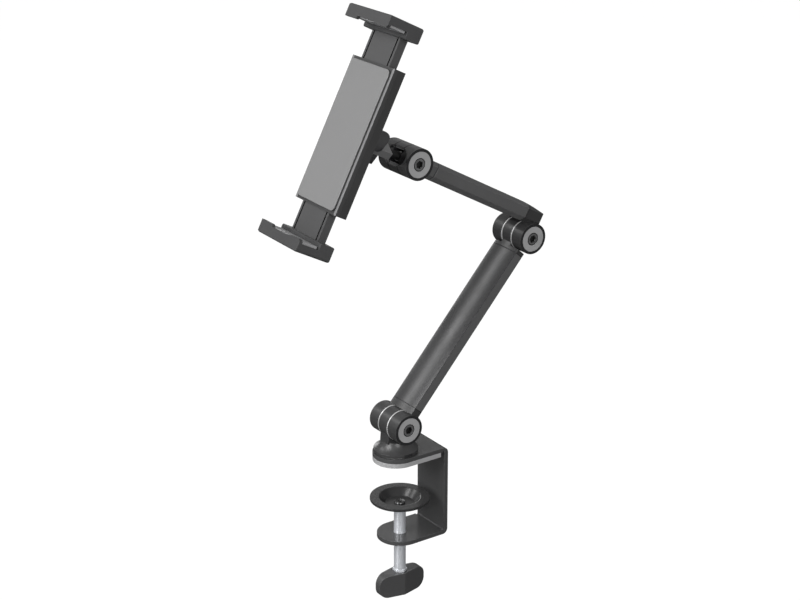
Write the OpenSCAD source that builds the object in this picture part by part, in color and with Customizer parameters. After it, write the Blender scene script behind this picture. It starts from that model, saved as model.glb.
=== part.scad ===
// Tablet mount with a desk clamp: a bent plate clamp with a screw and press
// disc, a turret, two folding arms, a ball head, and a cradle with two jaws.
// +Z is up, the back plate is towards +Y, the origin is on the turret's axis
// at the underside of the pad that rests on the desk.

/* [Desk clamp] */
// Width of the bent clamp plate
clamp_w = 38; // [36.5:0.5:44]
// Thickness of the clamp plate
plate_t = 3.5; // [3:0.1:4]
// Height of the clamp over its outer faces
clamp_h = 78.5; // [74:0.5:95]
// Distance from the turret's axis to the outer face of the back plate
clamp_back = 38.7; // [37:0.1:50]
// Outer radius of the two bends
bend_r = 4.6; // [4.2:0.1:7]
// Radius of the relief holes at the ends of the bends
relief_r = 1.1; // [0.8:0.1:1.5]
// Thickness of the pad on the desk
pad_t = 4; // [3.6:0.1:6]
// Gap between the pad's end and the back plate
pad_end_gap = 3.5; // [2:0.1:6]

/* [Clamp screw] */
// Distance from the turret's axis to the screw's axis
screw_y = 4; // [2:0.5:6]
// Diameter of the clamp screw
screw_d = 10; // [8:1:11]
// Length of the screw between the press disc and the collar
screw_len = 57.9; // [56:0.1:75]
// Space between the pad and the press disc's rim as drawn
clamp_open = 35; // [25:1:38]
// Width over the flats of the screw's collar
collar_af = 10.4; // [10.2:0.1:16]
// Height of the screw's collar
collar_h = 2.3; // [2:0.1:4]
// Depth of the screw's end in the knob
screw_seat = 15; // [12:1:17]
// Radius of the press disc
disc_r = 24.7; // [22:0.1:27]
// Inner radius of the disc's flat rim
disc_rim_in = 17.2; // [16:0.1:19]
// Thickness of the disc's rim
disc_rim_t = 2.3; // [1.5:0.1:3]
// Depth of the disc's cup
disc_depth = 6; // [4:0.1:7]
// Radius of the flat floor in the cup
disc_floor_r = 12; // [9:0.1:13]
// Thickness of the disc's floor
disc_floor_t = 2; // [1.5:0.1:3]
// Slanted wall's step outwards, seen in plan
disc_wall = 1.5; // [1.2:0.1:2]
// Radius of the retaining screw's head in the cup
keeper_head_r = 4.5; // [4:0.1:6]
// Height of the retaining screw's head
keeper_head_h = 1.5; // [1.2:0.1:2.5]
// Diameter of the retaining screw
keeper_d = 6; // [4:0.5:6.5]
// Length of the retaining screw in the clamp screw
keeper_seat = 8; // [6:1:14]

/* [Knob] */
// Length of the knob from wing tip to wing tip
knob_len = 45; // [42:1:60]
// Height of the knob
knob_h = 20; // [19:1:26]
// Thickness of the knob in the middle
knob_mid = 16; // [14.5:0.5:22]
// Thickness of the knob's wings at the tips
knob_tip = 6; // [4:0.5:9]
// Corner radius of the wings, seen from the side
knob_corner = 8.5; // [3:0.5:9]

/* [Turret] */
// Height of the shoulder pivot above the clamp plate
pivot_h = 24.5; // [24.3:0.1:30]
// Radius of the thin washer under the turret
turret_washer_r = 16.5; // [14:0.1:17.5]
// Thickness of the thin washer under the turret
turret_washer_t = 0.8; // [0.5:0.1:1.2]
// Radius of the turret's skirt
skirt_r = 18.2; // [17.6:0.1:19]
// Height of the turret's flared foot above the clamp plate
cone_h = 11; // [10.5:0.1:11.2]
// Radius at the top of the turret's flared foot
cone_top_r = 11.4; // [11.2:0.1:12.5]
// Height of the upright rim under the turret's flare
skirt_h = 2.4; // [1.6:0.1:3]
// Radius of the turret's flare, seen from the side
flare_r = 14; // [9:0.5:30]
// Half width of the turret's web under the knuckle
web_half = 10.9; // [9:0.1:11]
// Diameter of the turret's bolt
turret_bolt_d = 8; // [6:0.5:9]
// Radius of the head of the turret's bolt
turret_head_r = 6.5; // [6:0.1:8]
// Height of the head of the turret's bolt
turret_head_h = 2.4; // [1.8:0.1:2.6]
// Length of the turret's bolt in the turret
turret_seat = 8; // [5:0.5:9]

/* [Knuckles] */
// Radius of the knuckle barrels
barrel_r = 12.7; // [12.2:0.1:13]
// Length of the knuckle barrels
barrel_len = 37.4; // [36.4:0.1:44]
// Distance of the knuckles' seams from the middle
seam_x = 6.23; // [5.8:0.01:7]
// Thickness of the bright washers in the seams
washer_t = 0.9; // [0.6:0.1:1.2]
// Amount the bright washers stand out of the barrels
washer_over = 0.2; // [0:0.1:0.3]
// Diameter of the pivot bolts
bolt_d = 6; // [5:0.5:6]
// Radius of the pivot bolts' heads
bolt_head_r = 5; // [4.6:0.1:5.2]
// Height of the pivot bolts' heads
bolt_head_h = 6; // [5:0.1:7]
// Width over the flats of the sockets in the bolt heads
socket_af = 5; // [4:0.5:5]
// Width over the flats of the pivot nuts
nut_af = 10; // [9:0.5:10.5]
// Thickness of the pivot nuts
nut_t = 5; // [4:0.5:6]
// Outer radius of the rings in the barrel ends
ring_r = 10.4; // [9:0.1:11]
// Inner radius of the rings in the barrel ends
ring_in = 5.4; // [5.3:0.1:6]
// Thickness of the rings in the barrel ends
ring_t = 1.5; // [1:0.1:1.6]

/* [Lower arm] */
// Distance between the pivots of the lower arm
lower_len = 183.8; // [140:0.2:260]
// Lean of the lower arm from the vertical, as drawn
lower_lean = 41.5; // [20:0.5:60]
// Width of the lower arm along the pivots
lower_w = 30; // [26:0.5:34]
// Thickness of the lower arm
lower_t = 13; // [11:0.5:13]
// Corner radius of the lower arm's section
lower_corner = 1.2; // [0.8:0.1:2]
// Rise of the lower arm's crowned front and back
lower_crown = 1.8; // [1:0.1:2.5]
// Wall of the lower arm's tube
lower_wall = 1.8; // [1.2:0.1:2.4]
// Distance from the shoulder pivot to the foot cap's seam
foot_seam = 17.6; // [16:0.1:24]
// Distance from the elbow pivot to the elbow cap's seam
top_seam = 16.8; // [16:0.1:24]
// Distance from the elbow pivot to the shoulders of the elbow cap
top_shoulder = 13.4; // [13.2:0.1:15]
// Length of the caps' plugs in the tubes
plug_len = 12; // [8:1:20]

/* [Upper arm] */
// Distance from the elbow to the ball, measured along the beam
upper_len = 138.1; // [110:0.1:180]
// Distance from the elbow pivot to the beam's centre line
upper_off = 17.6; // [17:0.1:22]
// Rise of the upper arm above the horizontal, as drawn
upper_rise = 29; // [10:0.5:45]
// Width of the upper arm along the pivots
upper_w = 26; // [24:0.5:30]
// Height of the beam above its centre line
upper_top = 7.2; // [6.5:0.1:8]
// Depth of the beam below its centre line
upper_bottom = 7.8; // [7:0.1:8.5]
// Half height of the beam's flat sides
upper_side = 4; // [3:0.1:5]
// Wall of the beam
upper_wall = 2; // [1.4:0.1:2.6]
// Distance from the elbow pivot to the elbow cap's seam
elbow_seam = 12.3; // [10:0.1:18]
// Distance from the elbow pivot to the beam's rear end
elbow_end = 7.5; // [6:0.1:12]
// Half height of the beam's rear end
elbow_end_h = 4.2; // [3.5:0.1:5]
// Length over which the beam's top drops towards its rear end
elbow_taper = 28.5; // [22:0.5:40]
// Distance from the ball to the head cap's seam
head_seam = 23; // [20:0.1:30]

/* [Ball head] */
// Rise of the head's opening above the horizontal, as drawn
head_tilt = 27.6; // [15:0.1:40]
// Pan of the ball, as drawn
head_pan = 5.6; // [0:0.1:14]
// Roll of the neck in the ball, as drawn
neck_roll = -27; // [-60:1:60]
// Radius of the ball
ball_r = 8.5; // [8:0.1:8.8]
// Radius of the two cups that hold the ball
cup_r = 10.55; // [10.2:0.05:10.8]
// Distance of the cups' outer faces from the middle
cup_out = 11.2; // [10.6:0.1:12]
// Half length of the opening in the barrel
mouth_x = 13.2; // [11.5:0.1:14]
// Half height of the opening in the barrel
mouth_t = 7; // [6.4:0.1:7.2]
// Half length of the dish round the opening
dish_x = 16.5; // [15.5:0.1:17]
// Half height of the dish round the opening
dish_t = 8; // [7.6:0.1:8.5]
// Height of the clamping screws' heads
clamp_head_h = 4; // [3:0.1:4]
// Radius of the neck's stem
stem_r = 3; // [2.5:0.1:3]
// Width of the neck's flat link
neck_w = 13; // [11:0.5:13]
// Thickness of the neck's flat link
neck_t = 6; // [5:0.5:8]
// Distance from the ball's centre to the start of the flat link
neck_start = 17.2; // [15.3:0.1:18]
// Distance from the ball's centre to the pivot pin
pin_dist = 37.4; // [36:0.1:46]
// Radius of the pivot pin
pin_r = 2.5; // [2:0.1:3]

/* [Swivel] */
// Distance from the pivot pin to the cradle's front face
pin_to_face = 22; // [21.5:0.1:28]
// Radius of the rotor's fork
fork_r = 13.5; // [12.8:0.1:14]
// Distance from the pin to the middle of the fork's round ends
fork_mid = 1.8; // [1.5:0.1:3.5]
// Depth of the fork's slot past the pin
fork_depth = 6.8; // [6.7:0.1:7.2]
// Radius of the rotor's flange
flange_r = 15.6; // [15.2:0.1:16.2]
// Thickness of the rotor's flange
flange_t = 1.5; // [1.2:0.1:1.8]
// Radius of the swivel plate
swivel_r = 20.2; // [19.8:0.1:22]
// Thickness of the swivel plate
swivel_t = 3.5; // [3.3:0.1:4]
// Radius of the swivel plate's screw heads
swivel_screw_r = 1.5; // [1.3:0.1:1.6]

/* [Cradle] */
// Width of the cradle
cradle_w = 65; // [60:0.5:90]
// Length of the cradle
cradle_l = 117; // [112:0.5:150]
// Thickness of the cradle
cradle_t = 10; // [9.8:0.1:12]
// Distance from the front face to the seam in the cradle's side
frame_rim = 3.3; // [2.5:0.1:4]
// Thickness of the front frame's face
frame_t = 1; // [0.8:0.1:1.1]
// Thickness of the front frame's side walls
frame_wall = 2; // [1.5:0.1:3]
// Thickness of the cradle's rear wall
rear_wall = 1.6; // [1.4:0.1:2]
// Width of the pad on the cradle's front
face_pad_w = 59; // [54:0.5:60]
// Length of the pad on the cradle's front
face_pad_l = 112.6; // [100:0.2:112.6]
// Thickness of the pad on the cradle's front
face_pad_t = 1.75; // [1:0.05:3]
// Corner radius of the pad on the cradle's front
face_pad_corner = 4.5; // [2:0.5:8]

/* [Sliders] */
// Width of the sliders
slider_w = 42.6; // [38:0.2:46]
// Distance of the grooves in the slider's face from its middle
groove_u = 18; // [16:0.1:18.5]
// Width of the grooves in the slider's face
groove_w = 1.8; // [1:0.1:2]
// Depth of the grooves in the slider's face
groove_d = 1.2; // [0.6:0.1:2]
// Thickness of the slider's panel
slider_panel = 3.4; // [3:0.1:3.6]
// Depth of the slider from its face to its edges' backs
slider_depth = 6.8; // [6.4:0.1:6.9]
// Length of the slider that shows as drawn
slider_out = 22.7; // [4:0.1:22.9]
// Length of the slider from its inner end to the jaw
slider_len = 56; // [52:0.5:56]
// Thickness of the slider's edges
slider_edge = 3.6; // [2.5:0.1:4]
// Length of the rack past the slider's inner end
rack_past = 54; // [50:0.5:54]
// Thickness of the rack's back
rack_back = 3.75; // [3:0.05:4.5]
// Module of the rack and pinion
gear_m = 1; // [0.8:0.05:1]
// Number of teeth on the pinion
gear_teeth = 12; // [12:1:13]
// Radius of the pinion's post
post_r = 2; // [1.5:0.1:2.5]

/* [Jaws] */
// Width of the jaws
jaw_w = 64; // [56:0.5:80]
// Length of the jaws in the sliding direction
jaw_l = 12.3; // [11:0.1:15]
// Corner radius of the jaws' outer side, seen from the front
jaw_corner = 2; // [0.8:0.1:3]
// Wall of the jaws' outer side
jaw_wall = 6.8; // [5:0.1:8]
// Depth of the jaws' back behind the cradle's front face
jaw_back = 10.8; // [10:0.1:12]
// Height of the jaws in front of the cradle's front face
jaw_front = 19.8; // [14:0.1:26]
// Thickness of the jaws' lip
lip_t = 3; // [2:0.1:4]
// Height of the jaws' inner edge in front of the cradle's face
jaw_sill = 1.6; // [1:0.1:2.5]
// Length of the lip's tab
lip_tab = 15.5; // [10:0.5:20]
// Depth of the lip's tab past the channel's floor
lip_tab_d = 3.6; // [2.5:0.1:4.5]
// Depth of the lip past the channel's floor beside the tab
lip_low = 1.3; // [0.8:0.1:2]
// Depth of the lip past the channel's floor at the far end
lip_high = 3.1; // [2.2:0.1:4]
// Corner radius in the lip's edge
lip_corner = 2.3; // [1:0.1:3]
// Thickness of the rubber strips in the jaws
strip_t = 2; // [1:0.1:3]
// Height of the rubber strips in the jaws
strip_h = 14.4; // [8:0.1:14.6]
// Length of the slider's tongue in the jaw
tongue_l = 8; // [5:0.5:9]

/* [Fits] */
// Radial clearance of pins and bolts in their bores
pin_fit = 0.05; // [0.02:0.01:0.1]
// Clearance between faces that run on each other
face_fit = 0.05; // [0.02:0.01:0.1]
// Clearance round a moving knuckle
knuckle_gap = 0.4; // [0.3:0.1:0.6]
// Clearance round the sliders in the cradle
slide_gap = 0.2; // [0.1:0.05:0.3]
// Clearance of a plug or tongue in its seat
seat_fit = 0.05; // [0:0.01:0.1]
// Play between the teeth of the racks and the pinion
backlash = 0.24; // [0.15:0.01:0.35]

/* [Hidden] */
$fn = 96;

deck_z = pad_t + plate_t;
foot_z = deck_z - clamp_h;
back_in = clamp_back - plate_t;
bend_in = bend_r - plate_t;
nose_r = clamp_w / 2;
pad_end = back_in - pad_end_gap;

disc_top = -clamp_open;
disc_bottom = disc_top - disc_depth - disc_floor_t;
screw_top = disc_bottom - face_fit;
collar_top = screw_top - screw_len;
knob_top = collar_top - collar_h;

turret_z = deck_z + turret_washer_t + face_fit;
cone_z = deck_z + cone_h;
// The flare's arc runs from the skirt's rim to the neck; its centre is outside the turret.
flare_dx = skirt_r - cone_top_r;
flare_dz = cone_z - turret_z - skirt_h;
flare_chord = sqrt(flare_dx * flare_dx + flare_dz * flare_dz);
flare_out = sqrt(flare_r * flare_r - flare_chord * flare_chord / 4);
flare_x = (skirt_r + cone_top_r) / 2 + flare_out * flare_dz / flare_chord;
flare_z = turret_z + skirt_h + flare_dz / 2 + flare_out * flare_dx / flare_chord;
pivot_z = deck_z + pivot_h;
half_len = barrel_len / 2;
mid_half = seam_x - washer_t / 2 - face_fit;
ear_in = seam_x + washer_t / 2 + face_fit;
bolt_r = bolt_d / 2;
bolt_recess = 0.2;
bolt_seat = half_len - bolt_recess - bolt_head_h;
head_well = bolt_head_r + 0.3;
nut_out = half_len - ring_t - face_fit;
nut_in = nut_out - nut_t;

// Radius of the crowned faces, whose rise is reached 2 mm from the section's edges
crown_r = (pow(lower_w / 2 - 2, 2) + pow(lower_crown, 2)) / (2 * lower_crown);
elbow_y = lower_len * sin(lower_lean);
elbow_z = pivot_z + lower_len * cos(lower_lean);

sleeve_half = seam_x - face_fit;
cup_in = seam_x;
well_r = cup_r + pin_fit;
well_end = cup_out + face_fit;
// The dish is a ball-shaped cut whose edge on the barrel is dish_x by dish_t.
dish_n = sqrt(barrel_r * barrel_r - dish_t * dish_t);
dish_c = dish_x * dish_x / (2 * (barrel_r - dish_n));
dish_r = sqrt(dish_x * dish_x + (dish_c - barrel_r) * (dish_c - barrel_r));
flat_n = ball_r - 0.9;
face_n = pin_dist + pin_to_face;

frame_in = cradle_w / 2 - frame_wall;
bay_half = slider_w / 2 + slide_gap;
slider_z = -frame_t - slide_gap;
panel_z = slider_z - slider_panel;
rack_top = panel_z - slide_gap * 2;
slider_back = slider_z - slider_depth;
bay_z = -cradle_t + rear_wall;
jaw_v = cradle_l / 2 + slider_out;
slider_in = jaw_v - slider_len;
jaw_end = jaw_v + jaw_l;
floor_v = jaw_end - jaw_wall;
lip_z = jaw_front - lip_t;
pitch_r = gear_m * gear_teeth / 2;
base_r = pitch_r * cos(20);
rack_tip = pitch_r - 0.7 * gear_m;
rack_root = pitch_r + 1.1 * gear_m;
pinion_tip = pitch_r + 0.9 * gear_m;
pinion_root = pitch_r - gear_m;
pinion_top = rack_top - 0.2;
pinion_low = slider_back + 0.2;

// A cylinder along X from x0 to x1
module xcyl(r, x0, x1) {
    translate([x0, 0, 0]) rotate([0, 90, 0]) cylinder(r = r, h = x1 - x0);
}

// A hexagonal bar along X, af wide over its flats
module xhex(af, x0, x1) {
    translate([x0, 0, 0]) rotate([0, 90, 0]) cylinder(r = af / 2 / cos(30), h = x1 - x0, $fn = 6);
}

// A rectangle with round corners, centred
module round_rect(w, h, r) {
    square([w - 2 * r, h], center = true);
    square([w, h - 2 * r], center = true);
    for (x = [-1, 1], y = [-1, 1])
        translate([x * (w / 2 - r), y * (h / 2 - r)]) circle(r = r);
}

// Frames of the moving members, as drawn
module at_shoulder() {
    translate([0, 0, pivot_z]) rotate([-lower_lean, 0, 0]) children();
}
module at_elbow() {
    translate([0, elbow_y, elbow_z]) rotate([-upper_rise, 0, 0]) children();
}
module at_beam() {
    at_elbow() translate([0, 0, upper_off]) children();
}
module at_head() {
    at_beam() translate([0, -upper_len, 0]) rotate([90 - head_tilt + upper_rise, 0, 0]) children();
}
module at_ball() {
    at_head() rotate([0, -head_pan, 0]) children();
}
module at_neck() {
    at_ball() rotate([0, 0, neck_roll]) children();
}
module at_cradle() {
    at_ball() translate([0, 0, face_n]) children();
}
module at_rotor() {
    at_cradle() rotate([0, 0, neck_roll]) children();
}

// Clamp plate

// The clamp's outline seen from the side, filled, with in as its inset
module clamp_side(in, r) {
    top = deck_z - in;
    low = foot_z + in;
    back = clamp_back - in;
    open_end = nose_r + 1;
    translate([-open_end, low]) square([open_end + back - r, top - low]);
    translate([-open_end, low + r]) square([open_end + back, top - low - 2 * r]);
    translate([back - r, top - r]) circle(r = r);
    translate([back - r, low + r]) circle(r = r);
}

// The plan of a plate with a round nose about y0
module plate_plan(y0, y1) {
    translate([0, y0]) circle(r = nose_r);
    translate([-nose_r, y0]) square([clamp_w, y1 - y0]);
}

module clamp_bracket() {
    color("#3a3b3d") difference() {
        intersection() {
            rotate([90, 0, 90]) linear_extrude(clamp_w + 4, center = true) difference() {
                clamp_side(0, bend_r);
                clamp_side(plate_t, bend_in);
            }
            union() {
                translate([0, 0, -clamp_open]) linear_extrude(clamp_open + deck_z + 1)
                    plate_plan(0, clamp_back + 1);
                translate([0, 0, foot_z - 1]) linear_extrude(1 - foot_z - clamp_open)
                    plate_plan(screw_y, clamp_back + 1);
            }
        }
        translate([0, 0, pad_t - 1]) cylinder(r = turret_bolt_d / 2 + pin_fit, h = plate_t + 2);
        translate([0, screw_y, foot_z - 1]) cylinder(r = screw_d / 2 + pin_fit, h = plate_t + 2);
        for (x = [-1, 1], z = [pad_t, foot_z + plate_t])
            translate([x * (nose_r - 2), back_in - bend_in, z]) rotate([0, x * 90, 0])
                cylinder(r = relief_r, h = 4, $fn = 32);
    }
}

module desk_pad() {
    color("#a4a5a6") difference() {
        linear_extrude(pad_t) plate_plan(0, pad_end);
        translate([0, 0, pad_t - turret_head_h - 0.5]) cylinder(r = turret_head_r + 0.5, h = pad_t);
    }
}

module turret_washer() {
    color("#6a6a6c") translate([0, 0, deck_z]) difference() {
        cylinder(r = turret_washer_r, h = turret_washer_t);
        translate([0, 0, -1]) cylinder(r = turret_bolt_d / 2 + pin_fit, h = 3);
    }
}

// Press disc, clamp screw and knob

module press_disc() {
    hole = keeper_d / 2 + pin_fit;
    floor_top = -disc_depth;
    color("#3f4042") translate([0, screw_y, disc_top]) rotate_extrude() polygon([
        [hole, floor_top], [disc_floor_r, floor_top], [disc_rim_in, 0], [disc_r, 0],
        [disc_r, -disc_rim_t], [disc_rim_in + disc_wall, -disc_rim_t],
        [disc_floor_r + disc_wall, floor_top - disc_floor_t], [hole, floor_top - disc_floor_t]]);
}

module disc_keeper() {
    seat = disc_top - disc_depth + face_fit;
    color("#8f9092") translate([0, screw_y, 0]) difference() {
        union() {
            translate([0, 0, seat]) cylinder(r = keeper_head_r, h = keeper_head_h);
            translate([0, 0, screw_top - keeper_seat]) cylinder(r = keeper_d / 2, h = seat - screw_top + keeper_seat);
        }
        translate([0, 0, seat + keeper_head_h - 0.9]) cylinder(r = 2, h = 2, $fn = 6);
    }
}

module clamp_screw() {
    color("#c9cacb") translate([0, screw_y, 0]) difference() {
        union() {
            translate([0, 0, knob_top - screw_seat]) cylinder(r = screw_d / 2, h = screw_top - knob_top + screw_seat);
            translate([0, 0, knob_top]) cylinder(r = collar_af / 2 / cos(30), h = collar_h, $fn = 6);
        }
        translate([0, 0, screw_top - keeper_seat - 1]) cylinder(r = keeper_d / 2, h = keeper_seat + 2);
    }
}

module wing_knob() {
    m = knob_mid / 2;
    t = knob_tip / 2;
    e = knob_len / 2;
    color("#47484a") translate([0, screw_y, knob_top - knob_h]) difference() {
        intersection() {
            linear_extrude(knob_h) polygon([[m, 0], [t, e], [-t, e], [-m, 0], [-t, -e], [t, -e]]);
            translate([0, 0, knob_h / 2]) rotate([90, 0, 90])
                linear_extrude(knob_mid + 4, center = true) round_rect(knob_len, knob_h, knob_corner);
        }
        translate([0, 0, knob_h - screw_seat]) cylinder(r = screw_d / 2, h = screw_seat + 1);
    }
}

// Turret

module base_turret() {
    color("#404143") difference() {
        union() {
            rotate_extrude() difference() {
                translate([0, turret_z]) square([skirt_r, cone_z - turret_z]);
                translate([flare_x, flare_z]) circle(r = flare_r);
            }
            rotate([90, 0, 90]) linear_extrude(2 * mid_half, center = true) polygon([
                [-cone_top_r, cone_z - 1], [cone_top_r, cone_z - 1], [cone_top_r, cone_z],
                [web_half, pivot_z - lower_t / 2 - 0.5], [web_half, pivot_z], [-web_half, pivot_z],
                [-web_half, pivot_z - lower_t / 2 - 0.5], [-cone_top_r, cone_z]]);
            translate([0, 0, pivot_z]) xcyl(barrel_r, -mid_half, mid_half);
        }
        for (x = [0, 1]) translate([0, 0, pivot_z]) mirror([x, 0, 0])
            xcyl(barrel_r + knuckle_gap, mid_half, skirt_r + 1);
        translate([0, 0, pivot_z]) xcyl(bolt_r + pin_fit, -mid_half - 1, mid_half + 1);
        translate([0, 0, turret_z - 1]) cylinder(r = turret_bolt_d / 2, h = turret_seat + 1);
    }
}

module turret_bolt() {
    top = pad_t - face_fit;
    color("#8f9092") difference() {
        union() {
            translate([0, 0, top - turret_head_h]) cylinder(r = turret_head_r, h = turret_head_h);
            translate([0, 0, top]) cylinder(r = turret_bolt_d / 2, h = turret_z + turret_seat - top);
        }
        translate([0, 0, top - turret_head_h - 1]) cylinder(r = socket_af / 2 / cos(30), h = 2.6, $fn = 6);
    }
}

// Parts that every pivot has

module pivot_washers() {
    for (x = [-1, 1]) difference() {
        xcyl(barrel_r + washer_over, x * seam_x - washer_t / 2, x * seam_x + washer_t / 2);
        xcyl(bolt_r + pin_fit, x * seam_x - washer_t, x * seam_x + washer_t);
    }
}

module pivot_bolt() {
    difference() {
        union() {
            xcyl(bolt_head_r, bolt_seat, bolt_seat + bolt_head_h);
            xcyl(bolt_r, -nut_out, bolt_seat);
        }
        xhex(socket_af, bolt_seat + bolt_head_h - 3, half_len);
    }
}

module pivot_nut() {
    difference() {
        xhex(nut_af, -nut_out, -nut_in);
        xcyl(bolt_r, -half_len, 0);
    }
}

module end_rings() {
    for (x = [0, 1]) mirror([x, 0, 0]) difference() {
        xcyl(ring_r, half_len - ring_t, half_len - 0.1);
        xcyl(ring_in, half_len - ring_t - 1, half_len + 1);
    }
}

// Two outer knuckles on one pivot
module ears(inner) {
    for (x = [0, 1]) mirror([x, 0, 0]) xcyl(barrel_r, inner, half_len);
}

// The cuts for a pivot bolt, its nut and the end rings
module ear_cuts() {
    for (x = [0, 1]) mirror([x, 0, 0]) xcyl(ring_r, half_len - ring_t, half_len + 1);
    xcyl(head_well, bolt_seat, half_len);
    xcyl(bolt_r + 0.2, -half_len, half_len);
    xhex(nut_af + 0.2, -half_len, -nut_in);
}

module shoulder_washers() {
    color("#c4c5c6") at_shoulder() pivot_washers();
}
module shoulder_bolt() {
    color("#55565a") at_shoulder() pivot_bolt();
}
module shoulder_nut() {
    color("#55565a") at_shoulder() pivot_nut();
}
module shoulder_end_rings() {
    color("#9a9b9c") at_shoulder() end_rings();
}
module elbow_washers() {
    color("#c4c5c6") at_elbow() pivot_washers();
}
module elbow_bolt() {
    color("#55565a") at_elbow() pivot_bolt();
}
module elbow_nut() {
    color("#55565a") at_elbow() pivot_nut();
}
module elbow_end_rings() {
    color("#9a9b9c") at_elbow() end_rings();
}

// Lower arm

// The arm's solid section from z0 to z1 along the arm
module lower_bar(z0, z1, in = 0) {
    translate([0, 0, z0]) intersection() {
        linear_extrude(z1 - z0)
            round_rect(lower_w - 2 * in, lower_t - 2 * in, max(0.5, lower_corner - in * 0.8));
        translate([0, lower_t / 2 - crown_r, -1]) cylinder(r = crown_r - in, h = z1 - z0 + 2);
        translate([0, crown_r - lower_t / 2, -1]) cylinder(r = crown_r - in, h = z1 - z0 + 2);
    }
}

module lower_arm_foot_cap() {
    color("#4a4b4d") at_shoulder() difference() {
        union() {
            ears(ear_in);
            lower_bar(0, foot_seam);
            lower_bar(foot_seam - 1, foot_seam + plug_len, lower_wall + seat_fit);
        }
        xcyl(barrel_r + knuckle_gap, -ear_in, ear_in);
        ear_cuts();
    }
}

module lower_arm_tube() {
    color("#505154") at_shoulder() difference() {
        lower_bar(foot_seam, lower_len - top_seam);
        lower_bar(foot_seam - 1, lower_len - top_seam + 1, lower_wall);
    }
}

module lower_arm_elbow_cap() {
    color("#4a4b4d") at_shoulder() difference() {
        union() {
            lower_bar(lower_len - top_seam, lower_len - top_shoulder);
            lower_bar(lower_len - top_seam - plug_len, lower_len - top_seam + 1, lower_wall + seat_fit);
            intersection() {
                lower_bar(lower_len - top_shoulder - 1, lower_len);
                translate([-mid_half, -lower_t, 0]) cube([2 * mid_half, 2 * lower_t, lower_len]);
            }
            translate([0, 0, lower_len]) xcyl(barrel_r, -mid_half, mid_half);
        }
        translate([0, 0, lower_len]) xcyl(bolt_r + pin_fit, -mid_half - 1, mid_half + 1);
    }
}

// Upper arm

// The beam's section, with chamfers above and below its flat sides
module beam_section(in = 0) {
    w = upper_w / 2 - in;
    s = upper_side - in * 0.4;
    t = upper_top - in;
    b = upper_bottom - in;
    polygon([[w, -s], [w, s], [w - t + s, t], [t - s - w, t], [-w, s], [-w, -s],
        [b - s - w, -b], [w - b + s, -b]]);
}

// The beam's section from y0 to y1 along the beam
module beam_bar(y0, y1, in = 0) {
    translate([0, y1, 0]) rotate([90, 0, 0]) linear_extrude(y1 - y0) beam_section(in);
}

// The side view that gives the beam its falling top and its bevelled rear end
module beam_side() {
    steps = 8;
    rotate([90, 0, 90]) linear_extrude(upper_w + 10, center = true) polygon(concat(
        [[-upper_len, -upper_bottom], [elbow_end + elbow_end_h - upper_bottom, -upper_bottom],
         [elbow_end, -elbow_end_h]],
        [for (i = [0:steps]) [elbow_end - elbow_taper * i / steps,
            elbow_end_h + (upper_top - elbow_end_h) * sin(90 * i / steps)]],
        [[-upper_len, upper_top]]));
}

// The plan that bevels the beam's rear corners
module beam_plan() {
    c = 3;
    w = upper_w / 2;
    tall = upper_top + upper_w;
    translate([0, 0, -tall]) linear_extrude(2 * tall) polygon([[-w, -upper_len], [w, -upper_len],
        [w, elbow_end - c], [w - c, elbow_end], [c - w, elbow_end], [-w, elbow_end - c]]);
}

module upper_arm_elbow_cap() {
    color("#4a4b4d") difference() {
        union() {
            at_beam() intersection() {
                beam_bar(-elbow_seam, elbow_end);
                beam_side();
                beam_plan();
            }
            at_beam() beam_bar(-elbow_seam - plug_len, 1 - elbow_seam, upper_wall + seat_fit + 0.6);
            at_elbow() ears(ear_in);
        }
        at_elbow() xcyl(barrel_r + knuckle_gap, -ear_in, ear_in);
        at_elbow() ear_cuts();
    }
}

module upper_arm_beam() {
    color("#505154") at_beam() difference() {
        intersection() {
            beam_bar(head_seam - upper_len, -elbow_seam);
            beam_side();
        }
        beam_bar(head_seam - upper_len - 1, 1 - elbow_seam, upper_wall + 0.6);
    }
}

// Ball head

module head_mouth() {
    x = mouth_x - mouth_t;
    translate([-x, -mouth_t, 9]) cube([2 * x, 2 * mouth_t, 12]);
    for (s = [-1, 1]) translate([s * x, 0, 9]) cylinder(r = mouth_t, h = 12);
    translate([0, 0, dish_c]) sphere(r = dish_r);
}

// The key that stops the sleeve from turning, in the beam's direction
module sleeve_key(fit) {
    w = 3.5 + fit;
    h = 2.5 + fit;
    at_beam() translate([-w, barrel_r - upper_len - 1, -h]) cube([2 * w, 3 + fit, 2 * h]);
}

module upper_arm_head_cap() {
    color("#4a4b4d") difference() {
        union() {
            at_beam() beam_bar(-upper_len, head_seam - upper_len);
            at_beam() beam_bar(head_seam - upper_len - 1, head_seam - upper_len + plug_len,
                upper_wall + seat_fit + 0.6);
            at_head() ears(sleeve_half + face_fit);
        }
        at_head() xcyl(barrel_r + face_fit, -sleeve_half - face_fit, sleeve_half + face_fit);
        at_head() xcyl(well_r, -well_end, well_end);
        at_head() for (x = [0, 1]) mirror([x, 0, 0]) {
            xcyl(bolt_r, well_end - 1, half_len);
            xcyl(head_well, half_len - clamp_head_h - bolt_recess, half_len);
            xcyl(ring_r, half_len - ring_t, half_len + 1);
        }
        at_head() head_mouth();
        sleeve_key(seat_fit);
    }
}

module head_sleeve() {
    color("#47484a") difference() {
        union() {
            at_head() xcyl(barrel_r, -sleeve_half, sleeve_half);
            sleeve_key(0);
        }
        at_head() xcyl(well_r, -well_end, well_end);
        at_head() head_mouth();
    }
}

module head_clamp_screws() {
    seat = half_len - clamp_head_h - bolt_recess;
    color("#55565a") at_head() for (x = [0, 1]) mirror([x, 0, 0]) difference() {
        union() {
            xcyl(bolt_head_r, seat, seat + clamp_head_h);
            xcyl(bolt_r, cup_out + face_fit, seat);
        }
        xhex(socket_af, seat + clamp_head_h - 2.5, half_len);
    }
}

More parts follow.
